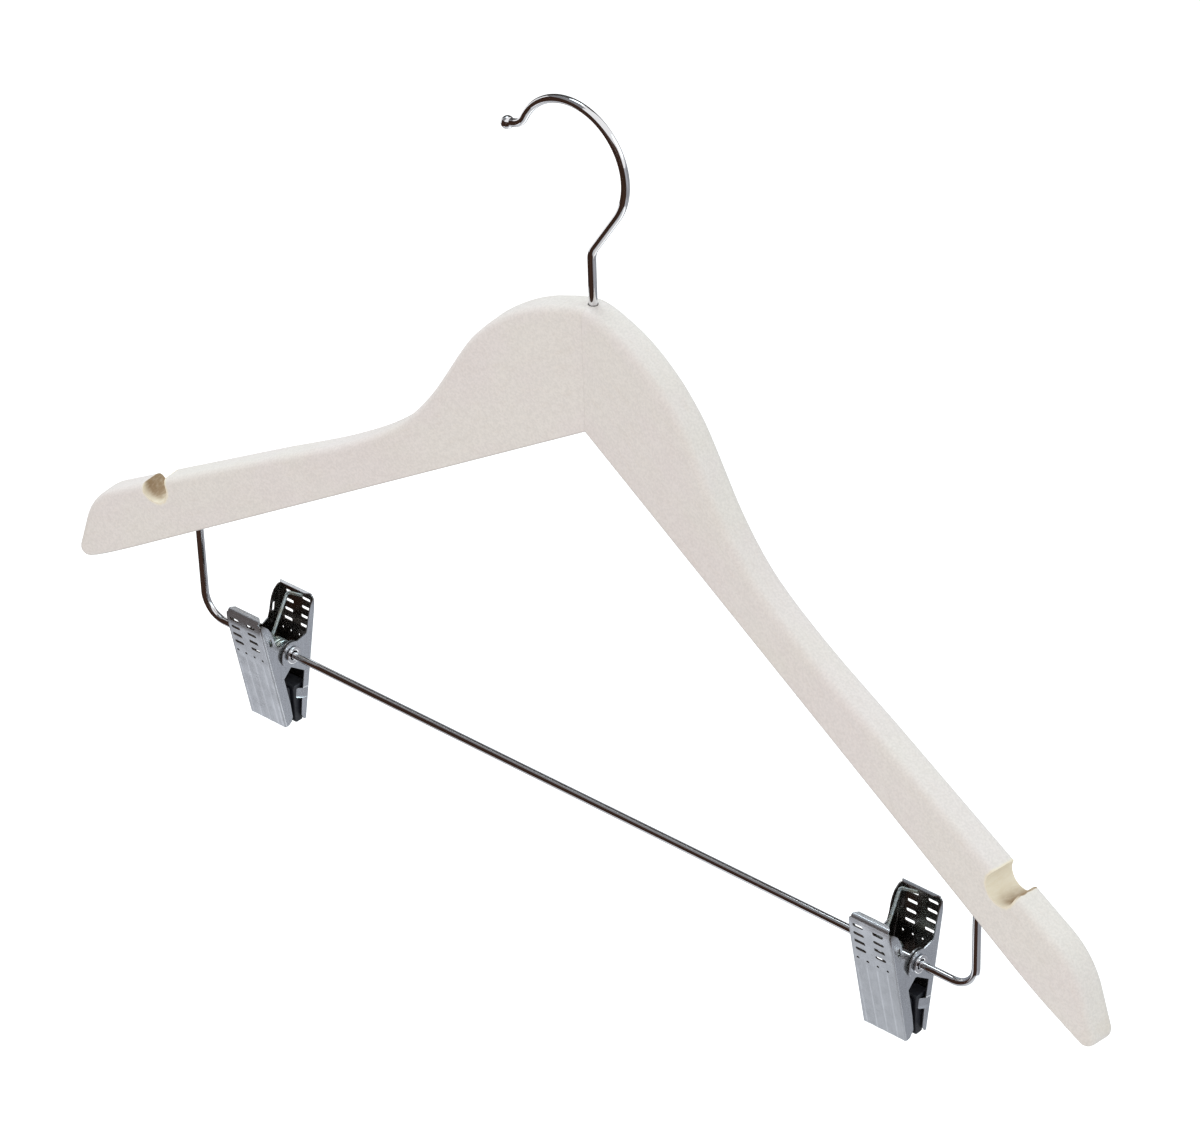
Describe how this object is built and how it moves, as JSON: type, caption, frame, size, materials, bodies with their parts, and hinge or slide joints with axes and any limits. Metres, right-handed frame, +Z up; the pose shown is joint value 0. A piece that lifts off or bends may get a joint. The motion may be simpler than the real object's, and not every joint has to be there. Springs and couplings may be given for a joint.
{
  "type": "wooden clothes hanger",
  "caption": "Wooden clothes hanger with notched, forward-swept arms, a swivel wire hook, a wire trouser bar and sliding spring clips.",
  "frame": {"origin": "inside the hook's loop, where the wire rests on a rail, on the hook's swivel axis", "axes": "+X along the arms to the right of someone facing the front, +Z up the swivel axis, -Y to the front, the way both arms sweep"},
  "size_m": [0.4438, 0.0397, 0.2742],
  "materials": {
    "wood": "pale whitewashed hardwood, satin",
    "chrome": "bright chrome plate",
    "steel": "plain turned steel",
    "zinc": "blue zinc-plated spring wire",
    "rubber": "near-black, dull"
  },
  "bodies": {
    "hanger": {"left_arm": "wood", "right_arm": "wood", "hook_bush": "steel", "trouser_bar": "chrome"},
    "swivel_hook": {"hook": "chrome"},
    "left_slider": {"left_clip_rivet": "chrome"},
    "left_back_grip": {"left_clip_back_jaw": "chrome", "left_clip_back_pad": "rubber", "left_clip_spring": "zinc"},
    "left_front_grip": {"left_clip_front_jaw": "chrome", "left_clip_front_pad": "rubber"},
    "right_slider": {"right_clip_rivet": "chrome"},
    "right_back_grip": {"right_clip_back_jaw": "chrome", "right_clip_back_pad": "rubber", "right_clip_spring": "zinc"},
    "right_front_grip": {"right_clip_front_jaw": "chrome", "right_clip_front_pad": "rubber"}
  },
  "joints": [
    {"name": "hook_swivel", "type": "hinge", "parent": "hanger", "child": "swivel_hook", "pos_m": [0, 0, -0.07], "axis": [0, 0, 1], "continuous": true},
    {"name": "left_clip_slide", "type": "slide", "parent": "hanger", "child": "left_slider", "axis": [1, 0, 0], "range_m": [-0.013, 0.126]},
    {"name": "left_clip_swing", "type": "hinge", "parent": "left_slider", "child": "left_back_grip", "pos_m": [-0.1364, -0.02048, -0.2406], "axis": [1, 0, 0], "continuous": true},
    {"name": "left_jaw_open", "type": "hinge", "parent": "left_back_grip", "child": "left_front_grip", "pos_m": [-0.1364, -0.02048, -0.2406], "axis": [-1, 0, 0], "range_deg": [0, 45], "stiffness_Nm_per_rad": 0.15, "springref_deg": -68.75, "deforming": ["left_clip_spring"]},
    {"name": "right_clip_slide", "type": "slide", "parent": "hanger", "child": "right_slider", "axis": [-1, 0, 0], "range_m": [-0.012, 0.127]},
    {"name": "right_clip_swing", "type": "hinge", "parent": "right_slider", "child": "right_back_grip", "pos_m": [0.1378, -0.02048, -0.2406], "axis": [1, 0, 0], "continuous": true},
    {"name": "right_jaw_open", "type": "hinge", "parent": "right_back_grip", "child": "right_front_grip", "pos_m": [0.1378, -0.02048, -0.2406], "axis": [-1, 0, 0], "range_deg": [0, 45], "stiffness_Nm_per_rad": 0.15, "springref_deg": -68.75, "deforming": ["right_clip_spring"]}
  ]
}
